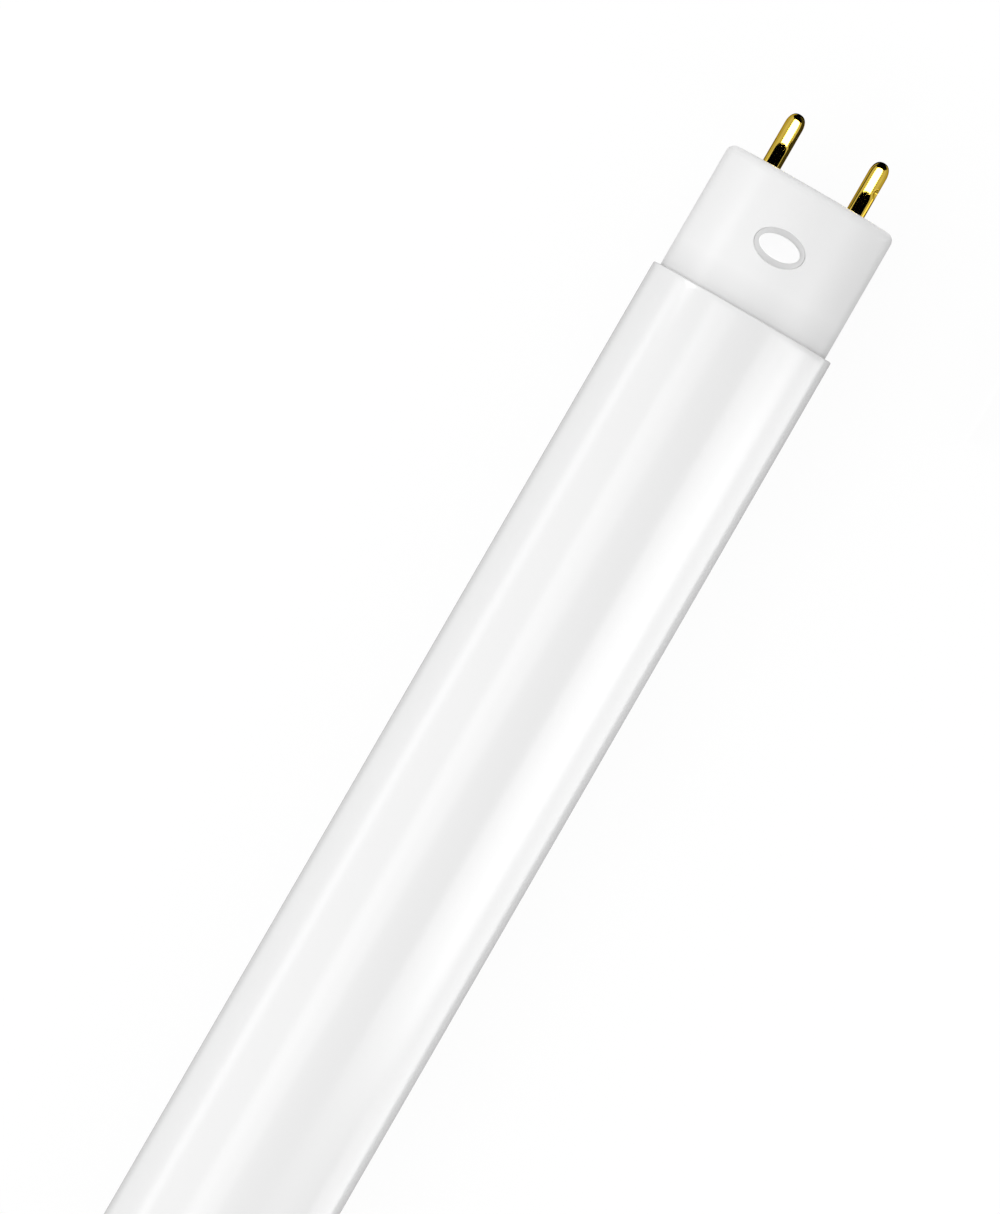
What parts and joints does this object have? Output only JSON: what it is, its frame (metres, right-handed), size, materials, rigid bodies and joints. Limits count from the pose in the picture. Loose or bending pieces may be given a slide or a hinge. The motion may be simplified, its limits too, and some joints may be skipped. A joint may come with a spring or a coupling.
{
  "type": "led tube",
  "caption": "Straight round LED lamp tube: an opal tube with a narrower white cap and brass contact pins at each end, over a sealed LED board, heat sink and driver.",
  "frame": {"origin": "middle of the tube's axis, halfway between the tips of the pins at its ends", "axes": "+X along the tube's axis towards end A, where the driver is; +Z the side that the light leaves by; the pins at each end stand side by side along Y"},
  "size_m": [0.604, 0.0268, 0.0268],
  "materials": {
    "opal_diffuser": "satin opal",
    "cap_plastic": "satin moulded",
    "port_silicone": "smooth white",
    "contact_brass": "polished",
    "extruded_aluminium": "mill finish",
    "thermal_tape": "matt",
    "white_board": "white solder mask",
    "green_board": "green solder mask",
    "sleeve_film": "thin film",
    "led_package": "phosphor in a white frame",
    "resistor_coating": "matt coating",
    "film_capacitor_case": "glossy dip",
    "black_package": "moulded",
    "capacitor_can": "sleeved",
    "ferrite": "sintered",
    "copper_winding": "enamelled",
    "white_lead": "insulation",
    "black_lead": "insulation",
    "red_lead": "insulation"
  },
  "bodies": {
    "root": {"bridge_rectifier": "black_package", "contact_pin_1_a": "contact_brass", "contact_pin_1_b": "contact_brass", "contact_pin_2_a": "contact_brass", "contact_pin_2_b": "contact_brass", "diffuser_tube": "opal_diffuser", "driver_board": "green_board", "driver_chip": "black_package", "driver_sleeve": "sleeve_film", "end_b_link": "white_lead", "end_cap_a": "cap_plastic", "end_cap_b": "cap_plastic", "film_capacitor": "film_capacitor_case", "fuse_resistor": "resistor_coating", "heat_sink": "extruded_aluminium", "inductor_core": "ferrite", "inductor_winding": "copper_winding", "input_capacitor": "capacitor_can", "led_01": "led_package", "led_02": "led_package", "led_03": "led_package", "led_04": "led_package", "led_05": "led_package", "led_06": "led_package", "led_07": "led_package", "led_08": "led_package", "led_09": "led_package", "led_10": "led_package", "led_11": "led_package", "led_12": "led_package", "led_13": "led_package", "led_14": "led_package", "led_15": "led_package", "led_16": "led_package", "led_17": "led_package", "led_18": "led_package", "led_19": "led_package", "led_20": "led_package", "led_21": "led_package", "led_22": "led_package", "led_23": "led_package", "led_24": "led_package", "led_25": "led_package", "led_26": "led_package", "led_27": "led_package", "led_28": "led_package", "led_29": "led_package", "led_30": "led_package", "led_board": "white_board", "led_lead_negative": "black_lead", "led_lead_positive": "red_lead", "mains_lead_1": "white_lead", "mains_lead_2": "white_lead", "output_capacitor": "capacitor_can", "output_diode": "black_package", "port_fill_a": "port_silicone", "port_fill_b": "port_silicone", "thermal_tape": "thermal_tape"}
  },
  "joints": []
}
